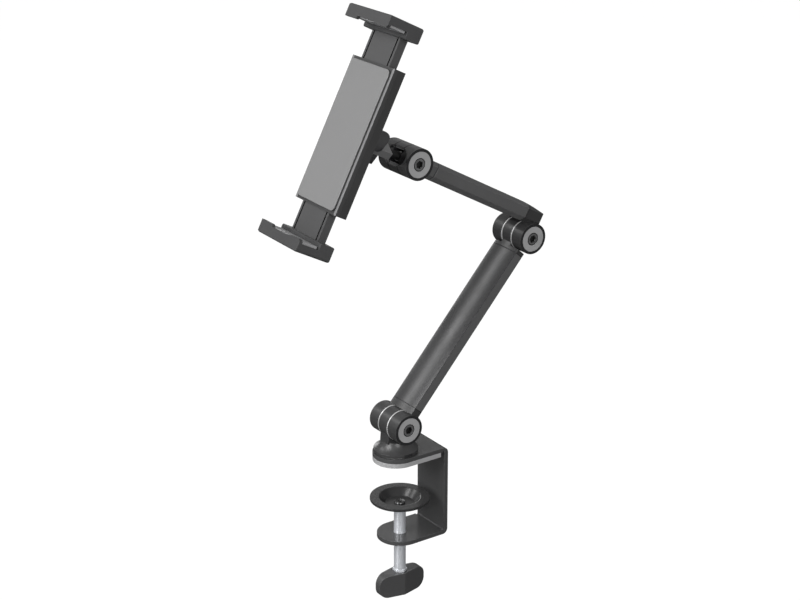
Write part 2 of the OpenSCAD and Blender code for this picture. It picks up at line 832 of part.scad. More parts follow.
module head_end_rings() {
    color("#9a9b9c") at_head() end_rings();
}

module ball_cups() {
    color("#d8d8d4") at_head() for (x = [-1, 1]) rotate([0, x * 90, 0]) rotate_extrude() difference() {
        translate([0, cup_in]) square([cup_r, cup_out - cup_in]);
        circle(r = ball_r + pin_fit);
    }
}

module head_ball() {
    color("#b9babb") at_ball() difference() {
        sphere(r = ball_r);
        translate([0, 0, flat_n]) cylinder(r = ball_r, h = ball_r);
        translate([0, 0, -flat_n - ball_r]) cylinder(r = ball_r, h = ball_r);
        translate([0, 0, -ball_r]) cylinder(r = stem_r + pin_fit, h = 2 * ball_r);
    }
}

module neck_link() {
    color("#77787a") at_neck() difference() {
        union() {
            translate([0, 0, -flat_n - 1.1]) cylinder(r = stem_r, h = neck_start + flat_n + 2);
            translate([0, 0, flat_n + face_fit]) cylinder(r = stem_r + 0.6, h = 1.2);
            translate([-neck_w / 2, -neck_t / 2, neck_start]) cube([neck_w, neck_t, pin_dist - neck_start]);
            translate([0, neck_t / 2, pin_dist]) rotate([90, 0, 0]) cylinder(r = neck_w / 2, h = neck_t);
        }
        translate([0, neck_t, pin_dist]) rotate([90, 0, 0]) cylinder(r = pin_r + pin_fit, h = 2 * neck_t);
    }
}

module neck_clip() {
    color("#8f9092") at_neck() translate([0, 0, -flat_n - face_fit - 0.8]) difference() {
        cylinder(r = stem_r + 0.9, h = 0.8);
        translate([0, 0, -1]) cylinder(r = stem_r, h = 3);
    }
}

// Swivel

fork_c = fork_mid - pin_to_face;
fork_half = neck_t / 2 + 0.15;

module swivel_rotor() {
    low = fork_c - fork_r;
    flange_top = -cradle_t - face_fit;
    color("#3f4042") at_rotor() difference() {
        union() {
            translate([0, 0, flange_top - flange_t]) cylinder(r = flange_r, h = flange_t);
            intersection() {
                translate([0, 0, low - 1]) cylinder(r = fork_r, h = flange_top - low + 1);
                rotate([90, 0, 0]) linear_extrude(2 * fork_r + 2, center = true) union() {
                    translate([-fork_r - 1, fork_c]) square([2 * fork_r + 2, -fork_c]);
                    translate([0, fork_c]) circle(r = fork_r);
                }
            }
        }
        translate([-fork_r - 1, -fork_half, low - 1])
            cube([2 * fork_r + 2, 2 * fork_half, fork_depth - pin_to_face - low + 1]);
        translate([0, fork_r + 1, -pin_to_face]) rotate([90, 0, 0]) cylinder(r = pin_r, h = 2 * fork_r + 2);
        translate([0, fork_r + 1, -pin_to_face]) rotate([90, 0, 0]) cylinder(r = pin_r + 1.6, h = 3.2);
    }
}

module pivot_pin() {
    head = fork_r - 2.2;
    color("#9a9b9c") at_rotor() translate([0, 0, -pin_to_face]) rotate([90, 0, 0]) difference() {
        union() {
            translate([0, 0, -head]) cylinder(r = pin_r, h = head + fork_r - 0.6);
            translate([0, 0, -head - 1.8]) cylinder(r = pin_r + 1.4, h = 1.8);
        }
        translate([0, 0, -head - 2]) cylinder(r = 1.75, h = 1.4, $fn = 6);
    }
}

swivel_screw_pcd = (flange_r + swivel_r) / 2;

module swivel_plate() {
    color("#47484a") at_cradle() translate([0, 0, -cradle_t]) difference() {
        translate([0, 0, -swivel_t]) cylinder(r = swivel_r, h = swivel_t);
        translate([0, 0, -swivel_t - 1]) cylinder(r = fork_r + pin_fit, h = swivel_t + 2);
        translate([0, 0, -flange_t - 2 * face_fit]) cylinder(r = flange_r + pin_fit, h = flange_t + 2);
        for (a = [45:90:315]) rotate(a) translate([swivel_screw_pcd, 0, -swivel_t - 1]) {
            cylinder(r = 0.9, h = swivel_t + 2, $fn = 32);
            cylinder(r = swivel_screw_r + 0.1, h = 2.4, $fn = 32);
        }
    }
}

module swivel_screws() {
    color("#8f9092") at_cradle() translate([0, 0, -cradle_t]) for (a = [45:90:315])
        rotate(a) translate([swivel_screw_pcd, 0, 0]) difference() {
            union() {
                translate([0, 0, 1.4 - swivel_t - 1.3]) cylinder(r = swivel_screw_r, h = 1.3, $fn = 32);
                translate([0, 0, 1.4 - swivel_t]) cylinder(r = 0.9, h = swivel_t - 0.2, $fn = 32);
            }
            translate([0, 0, -swivel_t]) cylinder(r = 0.7, h = 0.8, $fn = 6);
        }
}

// Cradle

screw_u = (bay_half + frame_in) / 2;
screw_v = cradle_l / 2 - 8.5;

module cradle_rear_housing() {
    color("#3f4042") at_cradle() difference() {
        union() {
            translate([-cradle_w / 2, -cradle_l / 2, -cradle_t]) cube([cradle_w, cradle_l, cradle_t - frame_rim]);
            translate([-frame_in, -cradle_l / 2, -cradle_t]) cube([2 * frame_in, cradle_l, cradle_t - frame_t]);
        }
        translate([-bay_half, -cradle_l / 2 - 1, bay_z]) cube([2 * bay_half, cradle_l + 2, cradle_t]);
        for (x = [-1, 1], y = [-1, 1]) translate([x * screw_u, y * screw_v, 0]) {
            translate([0, 0, -5.5]) cylinder(r = 2.5, h = 6, $fn = 48);
            translate([0, 0, -cradle_t - 1]) cylinder(r = 1.3, h = cradle_t, $fn = 48);
            translate([0, 0, -cradle_t - 1]) cylinder(r = 2.4, h = 2.8, $fn = 48);
        }
        for (a = [45:90:315]) rotate(a) translate([swivel_screw_pcd, 0, -cradle_t - 1])
            cylinder(r = 0.9, h = rear_wall + 2, $fn = 32);
    }
    color("#3f4042") at_cradle() translate([0, 0, bay_z - 0.5]) cylinder(r = post_r, h = panel_z - 0.2 - bay_z + 0.5);
}

module cradle_front_frame() {
    color("#77787a") at_cradle() difference() {
        union() {
            translate([-cradle_w / 2, -cradle_l / 2, -frame_t]) cube([cradle_w, cradle_l, frame_t]);
            for (x = [0, 1]) mirror([x, 0, 0])
                translate([frame_in, -cradle_l / 2, -frame_rim]) cube([frame_wall, cradle_l, frame_rim]);
            for (x = [-1, 1], y = [-1, 1]) translate([x * screw_u, y * screw_v, -5.5])
                cylinder(r = 2.5, h = 5.5, $fn = 48);
        }
        for (x = [-1, 1], y = [-1, 1]) translate([x * screw_u, y * screw_v, -6])
            cylinder(r = 1, h = 5, $fn = 48);
    }
}

module cradle_pad() {
    color("#97989a") at_cradle() linear_extrude(face_pad_t)
        round_rect(face_pad_w, face_pad_l, face_pad_corner);
}

module housing_screws() {
    seat = 1.8 - cradle_t;
    color("#8f9092") at_cradle() for (x = [-1, 1], y = [-1, 1])
        translate([x * screw_u, y * screw_v, 0]) difference() {
            union() {
                translate([0, 0, seat - 1.6]) cylinder(r = 2.2, h = 1.6, $fn = 48);
                translate([0, 0, seat]) cylinder(r = 1, h = -1.5 - seat, $fn = 48);
            }
            translate([0, 0, seat - 2]) cylinder(r = 1, h = 1.3, $fn = 6);
        }
}

// Rack and pinion

// Angle of the involute at radius r, in degrees
function involute(r) = let(a = acos(min(1, base_r / r))) tan(a) * 180 / PI - a;
// Half angle of a pinion tooth at radius r
function tooth_half(r) = 90 / gear_teeth - backlash / 4 / pitch_r * 180 / PI
    + involute(pitch_r) - involute(max(r, base_r));
tooth_radii = [for (i = [0:5]) i == 0 ? pinion_root : base_r + (pinion_tip - base_r) * (i - 1) / 4];

module pinion_plan() {
    polygon([for (k = [0:gear_teeth - 1], s = [-1, 1], i = [0:5])
        let(r = tooth_radii[s < 0 ? i : 5 - i], a = k * 360 / gear_teeth + s * tooth_half(r))
        [r * cos(a), r * sin(a)]]);
}

module jaw_pinion() {
    color("#d8d8d4") at_cradle() translate([0, 0, pinion_low]) difference() {
        linear_extrude(pinion_top - pinion_low) pinion_plan();
        translate([0, 0, -1]) cylinder(r = post_r + pin_fit, h = 6);
    }
}

module pinion_washer() {
    color("#b9babb") at_cradle() translate([0, 0, bay_z]) difference() {
        cylinder(r = post_r + 2.4, h = pinion_low - face_fit - bay_z);
        translate([0, 0, -1]) cylinder(r = post_r, h = 3);
    }
}

// One rack with its teeth towards the middle, for a slider that moves along +Y
module rack() {
    pitch = PI * gear_m;
    half = pitch / 4 - backlash / 4;
    reach = rack_past - slider_in - 1;
    count = floor(reach / pitch);
    difference() {
        translate([rack_root - 0.01, slider_in - rack_past, slider_back])
            cube([rack_back, rack_past + 6, rack_top - slider_back]);
        translate([0, slider_in, rack_top - 0.01]) cube([20, 20, 1]);
    }
    translate([0, 0, slider_back]) linear_extrude(rack_top - slider_back)
        for (k = [-count:min(count, floor((slider_in + 5) / pitch)) - 1]) let(c = (k + 0.5) * pitch, s = tan(20))
            polygon([[rack_root, c - half - s * (rack_root - pitch_r)],
                [rack_tip, c - half + s * (pitch_r - rack_tip)],
                [rack_tip, c + half - s * (pitch_r - rack_tip)],
                [rack_root, c + half + s * (rack_root - pitch_r)]]);
}

// The slider for a jaw that moves along +Y
module slider() {
    w = slider_w / 2;
    difference() {
        union() {
            translate([-w, slider_in, panel_z]) cube([slider_w, slider_len, slider_panel]);
            for (x = [0, 1]) mirror([x, 0, 0])
                translate([w - slider_edge, slider_in, slider_back]) cube([slider_edge, slider_len, slider_depth]);
            translate([-14, jaw_v - 1, panel_z - 1.6]) cube([28, tongue_l + 1, slider_panel + 0.8]);
            translate([rack_root, slider_in, slider_back]) cube([rack_back, 6, panel_z - slider_back + 1]);
        }
        for (x = [-1, 1]) {
            translate([x * groove_u - groove_w / 2, slider_in - 1, slider_z - groove_d])
                cube([groove_w, slider_len + 2, groove_d + 1]);
            translate([x * 9, jaw_v + tongue_l / 2, -20]) cylinder(r = 1, h = 17.5, $fn = 48);
        }
    }
    rack();
}

module upper_slider() {
    color("#4a4b4d") at_cradle() slider();
}
module lower_slider() {
    color("#4a4b4d") at_cradle() rotate([0, 0, 180]) slider();
}

// Jaws

module lip_plan() {
    w = jaw_w / 2;
    x1 = lip_tab - w;
    steps = 6;
    polygon(concat(
        [[-w, jaw_end], [-w, floor_v - lip_tab_d], [x1 - lip_corner * 0.5, floor_v - lip_tab_d]],
        [for (i = [0:steps]) let(a = 90 * i / steps)
            [x1 + lip_corner * sin(a), floor_v - lip_tab_d + (lip_tab_d - lip_low) * (1 - cos(a))]],
        [[w * 0.25, floor_v - lip_low - 0.2], [w * 0.65, floor_v - lip_high], [w - 2, floor_v - lip_high],
         [w, floor_v - lip_high + 2], [w, jaw_end]]));
}

module jaw() {
    w = jaw_w / 2;
    c = 0.8;
    difference() {
        intersection() {
            union() {
                rotate([90, 0, 90]) linear_extrude(jaw_w, center = true) polygon([
                    [jaw_v, -jaw_back + c], [jaw_v + c, -jaw_back], [jaw_end - c, -jaw_back],
                    [jaw_end, -jaw_back + c], [jaw_end, lip_z], [floor_v, lip_z],
                    [floor_v, jaw_sill], [jaw_v + c, jaw_sill], [jaw_v, jaw_sill - c]]);
                translate([0, 0, lip_z]) linear_extrude(lip_t) lip_plan();
            }
            translate([0, jaw_end - jaw_l, -jaw_back - 1]) linear_extrude(jaw_back + lip_z + lip_t + 2)
                round_rect(jaw_w, 2 * jaw_l, jaw_corner);
        }
        translate([0, jaw_end, jaw_front]) rotate([45, 0, 0]) cube([jaw_w + 2, c * sqrt(2), c * sqrt(2)], center = true);
        translate([-14 - seat_fit, jaw_v - 1, panel_z - 1.6 - seat_fit])
            cube([28 + 2 * seat_fit, tongue_l + 1 + seat_fit, slider_panel + 0.8 + 2 * seat_fit]);
        for (x = [-1, 1]) translate([x * 9, jaw_v + tongue_l / 2, -jaw_back - 1]) {
            cylinder(r = 1.2, h = jaw_back - 1, $fn = 48);
            cylinder(r = 2.4, h = 2.8, $fn = 48);
        }
    }
}

module jaw_strip() {
    mid = (jaw_sill + lip_z) / 2;
    translate([0, floor_v, mid]) rotate([90, 0, 0]) linear_extrude(strip_t) round_rect(jaw_w - 4, strip_h, 1.5);
}

module jaw_screws() {
    seat = 1.8 - jaw_back;
    for (x = [-1, 1]) translate([x * 9, jaw_v + tongue_l / 2, 0]) difference() {
        union() {
            translate([0, 0, seat - 1.6]) cylinder(r = 2.2, h = 1.6, $fn = 48);
            translate([0, 0, seat]) cylinder(r = 1, h = -2.8 - seat, $fn = 48);
        }
        translate([0, 0, seat - 2]) cylinder(r = 1, h = 1.3, $fn = 6);
    }
}

module upper_jaw() {
    color("#45464a") at_cradle() jaw();
}
module lower_jaw() {
    color("#45464a") at_cradle() mirror([0, 1, 0]) jaw();
}
module upper_jaw_strip() {
    color("#b4b5b6") at_cradle() jaw_strip();
}
module lower_jaw_strip() {
    color("#b4b5b6") at_cradle() mirror([0, 1, 0]) jaw_strip();
}
module upper_jaw_screws() {
    color("#8f9092") at_cradle() jaw_screws();
}
module lower_jaw_screws() {
    color("#8f9092") at_cradle() mirror([0, 1, 0]) jaw_screws();
}

clamp_bracket();
desk_pad();
turret_washer();
press_disc();
disc_keeper();
clamp_screw();
wing_knob();
base_turret();
turret_bolt();
shoulder_washers();
shoulder_bolt();
shoulder_nut();
shoulder_end_rings();
lower_arm_foot_cap();
lower_arm_tube();
lower_arm_elbow_cap();
elbow_washers();
elbow_bolt();
elbow_nut();
elbow_end_rings();
upper_arm_elbow_cap();
upper_arm_beam();
upper_arm_head_cap();
head_sleeve();
head_clamp_screws();
head_end_rings();
ball_cups();
head_ball();
neck_link();
neck_clip();
swivel_rotor();
pivot_pin();
swivel_plate();
swivel_screws();
cradle_rear_housing();
cradle_front_frame();
cradle_pad();
housing_screws();
jaw_pinion();
pinion_washer();
upper_slider();
upper_jaw();
upper_jaw_strip();
upper_jaw_screws();
lower_slider();
lower_jaw();
lower_jaw_strip();
lower_jaw_screws();
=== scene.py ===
import math

import bmesh
import bpy
from mathutils import Matrix, Vector


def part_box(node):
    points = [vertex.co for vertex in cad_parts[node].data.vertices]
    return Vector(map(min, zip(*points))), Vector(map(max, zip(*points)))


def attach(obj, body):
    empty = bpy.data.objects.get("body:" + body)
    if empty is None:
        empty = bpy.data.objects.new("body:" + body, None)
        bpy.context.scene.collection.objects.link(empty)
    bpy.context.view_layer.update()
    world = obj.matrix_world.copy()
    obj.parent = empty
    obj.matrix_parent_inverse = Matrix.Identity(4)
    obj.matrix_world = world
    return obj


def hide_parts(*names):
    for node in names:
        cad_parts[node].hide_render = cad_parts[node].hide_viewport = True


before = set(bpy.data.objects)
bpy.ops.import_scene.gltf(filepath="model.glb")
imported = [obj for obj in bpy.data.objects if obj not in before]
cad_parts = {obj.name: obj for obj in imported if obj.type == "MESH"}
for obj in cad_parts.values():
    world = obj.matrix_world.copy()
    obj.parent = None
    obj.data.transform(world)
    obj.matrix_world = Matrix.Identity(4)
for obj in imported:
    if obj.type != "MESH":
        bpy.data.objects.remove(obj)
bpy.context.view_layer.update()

# Clamp plate: one strip of steel, bent twice into a C, with its edges tumbled
# and a smooth black paint that is glossy enough to mirror the screw faintly.
# The press disc below is a steel pressing in a darker black.
tumbled_edge = 0.0004
wear_reach = 0.0008
rough_swing = 0.18
weld_reach = 2e-6
flat_angle = 0.5
form_crease = 35


def new_group(name, inputs, outputs):
    """A shader node group with named float or colour sockets."""
    group = bpy.data.node_groups.new(name, "ShaderNodeTree")
    for label, kind, value in inputs:
        socket = group.interface.new_socket(label, in_out="INPUT", socket_type="NodeSocket" + kind)
        socket.default_value = value
    for label, kind in outputs:
        group.interface.new_socket(label, in_out="OUTPUT", socket_type="NodeSocket" + kind)
    return group, group.nodes.new("NodeGroupInput"), group.nodes.new("NodeGroupOutput")


def add(tree, kind, **values):
    """A node with its settings, and with its sockets set by name."""
    node = tree.nodes.new("ShaderNode" + kind)
    for label, value in values.items():
        if hasattr(node, label):
            setattr(node, label, value)
        else:
            node.inputs[label.replace("_", " ")].default_value = value
    return node


def coat_grain_group():
    """Fine droplets and faint cloudiness of a sprayed or moulded surface, with a painted highlight along its
    edges.
    """
    group, given, out = new_group(
        "coat_grain",
        [("Color", "Color", (0.1, 0.1, 0.1, 1)), ("Grain", "Float", 900.0), ("Cloud", "Float", 45.0),
         ("Cloud Amount", "Float", 0.12), ("Roughness", "Float", 0.45), ("Edge Highlight", "Float", 0.25)],
        [("Color", "Color"), ("Roughness", "Float"), ("Height", "Float")])
    link = group.links.new
    place = add(group, "TexCoord")
    grain = add(group, "TexNoise", Detail=3.0, Roughness=0.55)
    link(place.outputs["Object"], grain.inputs["Vector"])
    link(given.outputs["Grain"], grain.inputs["Scale"])
    cloud = add(group, "TexNoise", Detail=2.0, Roughness=0.5)
    link(place.outputs["Object"], cloud.inputs["Vector"])
    link(given.outputs["Cloud"], cloud.inputs["Scale"])
    soft = add(group, "Bevel", samples=4, Radius=wear_reach)
    flat = add(group, "NewGeometry")
    turn = add(group, "VectorMath", operation="DOT_PRODUCT")
    link(soft.outputs[0], turn.inputs[0])
    link(flat.outputs["Normal"], turn.inputs[1])
    edge = add(group, "MapRange", From_Min=0.995, From_Max=0.9)
    link(turn.outputs["Value"], edge.inputs["Value"])
    edge_shine = add(group, "Math", operation="MULTIPLY")
    link(edge.outputs["Result"], edge_shine.inputs[0])
    link(given.outputs["Edge Highlight"], edge_shine.inputs[1])
    spread = add(group, "MapRange", To_Min=-0.5, To_Max=0.5)
    link(cloud.outputs["Fac"], spread.inputs["Value"])
    amount = add(group, "Math", operation="MULTIPLY_ADD")
    link(spread.outputs["Result"], amount.inputs[0])
    link(given.outputs["Cloud Amount"], amount.inputs[1])
    link(edge_shine.outputs[0], amount.inputs[2])
    gain = add(group, "Math", operation="ADD")
    gain.inputs[1].default_value = 1.0
    link(amount.outputs[0], gain.inputs[0])
    colour = add(group, "VectorMath", operation="SCALE")
    link(given.outputs["Color"], colour.inputs[0])
    link(gain.outputs[0], colour.inputs["Scale"])
    link(colour.outputs[0], out.inputs["Color"])
    rough = add(group, "Math", operation="MULTIPLY_ADD")
    rough.inputs[1].default_value = rough_swing
    link(spread.outputs["Result"], rough.inputs[0])
    link(given.outputs["Roughness"], rough.inputs[2])
    link(rough.outputs[0], out.inputs["Roughness"])
    link(grain.outputs["Fac"], out.inputs["Height"])
    return group


coat_grain = coat_grain_group()


def coated(name, colour, roughness, grain=900.0, depth=0.00002, edge=0.25, cloud=0.12, **principled):
    """A painted, plated or moulded finish on top of the shared grain."""
    material = bpy.data.materials.new(name)
    material.use_nodes = True
    tree = material.node_tree
    surface = tree.nodes["Principled BSDF"]
    skin = tree.nodes.new("ShaderNodeGroup")
    skin.node_tree = coat_grain
    skin.inputs["Color"].default_value = (*colour, 1)
    skin.inputs["Grain"].default_value = grain
    skin.inputs["Cloud Amount"].default_value = cloud
    skin.inputs["Roughness"].default_value = roughness
    # edge sets the strength of the painted highlight along the edges
    skin.inputs["Edge Highlight"].default_value = edge
    bump = add(tree, "Bump", Strength=0.6, Distance=depth)
    tree.links.new(skin.outputs["Color"], surface.inputs["Base Color"])
    tree.links.new(skin.outputs["Roughness"], surface.inputs["Roughness"])
    tree.links.new(skin.outputs["Height"], bump.inputs["Height"])
    tree.links.new(bump.outputs["Normal"], surface.inputs["Normal"])
    for label, value in principled.items():
        surface.inputs[label.replace("_", " ")].default_value = value
    return material


def shaded(name, mesh, finish, crease):
    """An object of a mesh in its finish, smooth except where it turns by more than the crease angle."""
    mesh.materials.clear()
    mesh.materials.append(finish)
    mesh.polygons.foreach_set("use_smooth", [True] * len(mesh.polygons))
    mesh.set_sharp_from_angle(angle=math.radians(crease))
    piece = bpy.data.objects.new(name, mesh)
    bpy.context.scene.collection.objects.link(piece)
    return piece


def softened(node, body, finish, width, segments=2, sharp=28):
    """A copy of a piece with its edges rounded, as casting, moulding or tumbling leaves them."""
    mesh = bpy.data.meshes.new(node + "_form")
    shape = bmesh.new()
    shape.from_mesh(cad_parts[node].data)
    bmesh.ops.remove_doubles(shape, verts=shape.verts, dist=weld_reach)
    bmesh.ops.dissolve_limit(shape, angle_limit=math.radians(flat_angle), verts=shape.verts,
                             edges=shape.edges)
    keen = [e for e in shape.edges if len(e.link_faces) == 2 and e.calc_face_angle(0) > math.radians(sharp)]
    bmesh.ops.bevel(shape, geom=keen, offset=width, segments=segments, profile=0.6, affect="EDGES",
                    clamp_overlap=True)
    bmesh.ops.dissolve_degenerate(shape, edges=shape.edges, dist=1e-6)
    shape.to_mesh(mesh)
    shape.free()
    piece = shaded(node + "_finished", mesh, finish, form_crease)
    even = piece.modifiers.new("even_normals", "WEIGHTED_NORMAL")
    even.keep_sharp = True
    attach(piece, body)
    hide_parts(node)
    return piece


plate_paint = coated("plate_paint", (0.064, 0.064, 0.065), 0.22, grain=420.0, depth=0.000015, edge=0.5)
softened("clamp_bracket", "clamp", plate_paint, tumbled_edge)
disc_paint = coated("disc_paint", (0.031, 0.031, 0.0314), 0.22, grain=420.0, depth=0.000015, edge=0.5)
softened("press_disc", "press_foot", disc_paint, tumbled_edge)

# Desk pad: a die-cut sheet of grey foam rubber, glued under the upper plate.
# Its face shows the closed cells of the foam as fine specks.
pad_edge = 0.0003
pad_foam = coated("pad_foam", (0.34, 0.34, 0.345), 0.85, grain=1600.0, depth=0.00012, edge=0.0, cloud=0.2)
softened("desk_pad", "clamp", pad_foam, pad_edge)

# Disc keeper: a small round-headed screw of dark plated steel that keeps the disc
# on the clamp screw's end. Its open socket is painted near-black as shade.
screw_axis = Vector((0.0, 0.004, 0.0))
keeper_edge = 0.0009
keeper_socket = 0.00195
keeper_steel = coated("keeper_steel", (0.34, 0.34, 0.345), 0.16, grain=300.0, depth=0.000004, edge=0.0,
                      Metallic=1.0)
# This near-black finish is painted shade for open sockets, the bolt heads' rims and the neck's stem.
recess_shade = coated("recess_shade", (0.008, 0.008, 0.008), 0.5, grain=800.0, depth=0.00001, edge=0.0)


def painted(piece, finish, chosen):
    """Gives the faces of a piece that pass a test one more finish."""
    mesh = piece.data
    if finish.name not in mesh.materials:
        mesh.materials.append(finish)
    index = mesh.materials.find(finish.name)
    for face in mesh.polygons:
        if chosen(face):
            face.material_index = index


keeper = softened("disc_keeper", "screw", keeper_steel, keeper_edge, segments=4)
painted(keeper, recess_shade,
        lambda face: math.hypot(face.center.x, face.center.y - screw_axis.y) < keeper_socket)

# Clamp screw: M10 rod, zinc plated, with a rolled thread from under the disc to
# the six-sided collar above the knob.
screw_low, screw_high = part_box("clamp_screw")
rod_radius = 0.00498
rod_sides = 48
tip_radius = 0.0040
tip_chamfer = 0.0008
tail_radius = 0.0046
tail_chamfer = 0.0005
rod_crease = 24
thread_top = -0.0465
thread_end = -0.1002
thread_pitch = 0.0015
thread_depth = 0.00012
thread_flat = 0.12
thread_steps = 8
thread_runout = 16
thread_start = 0.2
thread_gap = 0.0001
collar_top = -0.1010
collar_end = -0.1033
collar_sides = 6
collar_radius = 0.0052 / math.cos(math.pi / collar_sides)
collar_chamfer = 0.0006
collar_bevel = 0.0003
zinc = coated("zinc_plate", (0.88, 0.905, 0.95), 0.34, grain=300.0, depth=0.000008, edge=0.1, cloud=0.25,
              Metallic=0.6)


def ring(shape, radii, height):
    """Points round the screw's axis, one for each radius."""
    step = math.tau / len(radii)
    return [shape.verts.new((radius * math.cos(step * k), screw_axis.y + radius * math.sin(step * k), height))
            for k, radius in enumerate(radii)]


def band(shape, one, two):
    """Faces between two rings."""
    for k in range(len(one)):
        after = (k + 1) % len(one)
        shape.faces.new((one[k], two[k], two[after], one[after]))


def turned(shape, profile, sides):
    """A closed form through rings of one radius and height each."""
    rings = [ring(shape, [radius] * sides, height) for radius, height in profile]
    for one, two in zip(rings, rings[1:]):
        band(shape, one, two)
    shape.faces.new(rings[0][::-1])
    shape.faces.new(rings[-1])


def thread_radius(height, turn, fade):
    """The rod's radius at a height and at a share of a turn, on a right-hand helix."""
    wave = abs(((height / thread_pitch - turn) % 1.0) * 2 - 1)
    cut = min(1.0, max(0.0, (wave - thread_flat) / (1 - 2 * thread_flat)))
    return rod_radius - thread_depth * cut * fade


def threaded_rod():
    """The threaded length, the smooth ends and the collar, as one piece."""
    shape = bmesh.new()
    length = thread_top - thread_end
    rings = int(length * thread_steps / thread_pitch)
    last = None
    for i in range(rings + 1):
        height = thread_top - length * i / rings
        fade = min(1.0, (rings - i) / thread_runout, i / thread_runout + thread_start)
        radii = [thread_radius(height, k / rod_sides, fade) for k in range(rod_sides)]
        this = ring(shape, radii, height)
        if last:
            band(shape, last, this)
        last = this
    turned(shape, [(tip_radius, screw_high[2]), (rod_radius, screw_high[2] - tip_chamfer),
                   (rod_radius, thread_top + thread_gap)], rod_sides)
    turned(shape, [(rod_radius, thread_end - thread_gap), (rod_radius, screw_low[2] + tail_chamfer),
                   (tail_radius, screw_low[2])], rod_sides)
    turned(shape, [(collar_radius - collar_chamfer, collar_top), (collar_radius, collar_top - collar_bevel),
                   (collar_radius, collar_end + collar_bevel),
                   (collar_radius - collar_chamfer, collar_end)], collar_sides)
    bmesh.ops.recalc_face_normals(shape, faces=shape.faces)
    mesh = bpy.data.meshes.new("threaded_rod")
    shape.to_mesh(mesh)
    shape.free()
    return shaded("clamp_screw_threaded", mesh, zinc, rod_crease)


rod = threaded_rod()
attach(rod, "screw")
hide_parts("clamp_screw")

# Wing knob: one moulding in glass-filled nylon, thick in the middle with a
# crease down each side, pressed on the screw's end.
knob_edge = 0.0011
knob_nylon = coated("knob_nylon", (0.060, 0.060, 0.061), 0.42, grain=1100.0, depth=0.00005, edge=0.35)
softened("wing_knob", "screw", knob_nylon, knob_edge, segments=3, sharp=8)

# Turret and the two arms: cast and drawn aluminium, tumbled, under a matt
# charcoal powder coat that is paler on the head and on the upper arm's beam.
# The tube's flat sides carry the paler coat as painted light, and its rounded
# corners, the barrels' ends and the seams are painted near-black as shade. The
# caps are plugged into the tube and the beam.
turret_edge = 0.0005
tube_edge = 0.0003
beam_edge = 0.0004
cap_edge = 0.0006
head_edge = 0.0008
barrel_rim = 0.0178
corner_start = 0.013
corner_lean = 0.3
side_lean = 0.99
tube_axis = Vector((0, 0.66258, 0.74899))
beam_axis = Vector((0, -0.80630, 0.59150))
barrel_axis = Vector((1, 0, 0))
arm_seam = 0.0003
head_seam = 0.0006
arm_powder = coated("arm_powder", (0.042, 0.042, 0.043), 0.3, grain=700.0, depth=0.00004, edge=0.45)
head_powder = coated("head_powder", (0.098, 0.098, 0.099), 0.42, grain=700.0, depth=0.00004, edge=0.6)
# The beam's paler coat, also painted on the tube's flat sides as light.
beam_coat_and_side_light = coated("beam_coat_and_side_light", (0.098, 0.098, 0.099), 0.5, grain=700.0, depth=0.00004, edge=0.45)
# This near-black finish is painted shade on the barrels' ends, the tube's corners and the seams between
# parts.
rim_and_seam_shade = coated("rim_and_seam_shade", (0.014, 0.014, 0.015), 0.55, grain=700.0, depth=0.00003, edge=0.0)
cap_powder = coated("cap_powder", (0.042, 0.042, 0.0425), 0.33, grain=700.0, depth=0.00004, edge=0.45)
arm_pieces = {}
for name, body, finish, width in [
        ("base_turret", "turret", cap_powder, turret_edge),
        ("lower_arm_foot_cap", "lower_arm", cap_powder, cap_edge),
        ("lower_arm_tube", "lower_arm", arm_powder, tube_edge),
        ("lower_arm_elbow_cap", "lower_arm", cap_powder, cap_edge),
        ("upper_arm_elbow_cap", "upper_arm", cap_powder, cap_edge),
        ("upper_arm_beam", "upper_arm", beam_coat_and_side_light, beam_edge),
        ("upper_arm_head_cap", "upper_arm", head_powder, head_edge),
        ("head_sleeve", "upper_arm", head_powder, head_edge)]:
    arm_pieces[name] = softened(name, body, finish, width)
    # painted shade: the barrels' ends near-black
    painted(arm_pieces[name], rim_and_seam_shade, lambda face: abs(face.center.x) > barrel_rim)

tube = arm_pieces["lower_arm_tube"]
# painted shade on the tube's rounded corners and painted light on its flat sides
for finish, lean in [(rim_and_seam_shade, corner_lean), (beam_coat_and_side_light, side_lean)]:
    painted(tube, finish, lambda face: abs(face.center.x) > corner_start and abs(face.normal.x) > lean)


def scored(piece, places, axis):
    """Cuts new edges into a piece where planes across an axis pass through the places."""
    cut = bmesh.new()
    cut.from_mesh(piece.data)
    for place in places:
        bmesh.ops.bisect_plane(cut, geom=cut.verts[:] + cut.edges[:] + cut.faces[:], dist=1e-7,
                               plane_co=place, plane_no=axis)
    cut.to_mesh(piece.data)
    cut.free()


def shaded_seams(axis, marks, width, *names):
    """Paints a near-black line of shade, of width, on each side of the planes across axis at marks."""
    for name in names:
        piece = arm_pieces[name]
        scored(piece, [axis * (mark + side * width) for mark in marks for side in (-1, 1)], axis)
        for mark in marks:
            painted(piece, rim_and_seam_shade, lambda face: abs(face.center.dot(axis) - mark) < width)


for core, axis, width, ends in [
        ("lower_arm_tube", tube_axis, arm_seam, ("lower_arm_foot_cap", "lower_arm_elbow_cap")),
        ("upper_arm_beam", beam_axis, arm_seam, ("upper_arm_elbow_cap", "upper_arm_head_cap")),
        ("head_sleeve", barrel_axis, head_seam, ("upper_arm_head_cap",))]:
    span = [vertex.co.dot(axis) for vertex in arm_pieces[core].data.vertices]
    shaded_seams(axis, (min(span), max(span)), width, core, *ends)

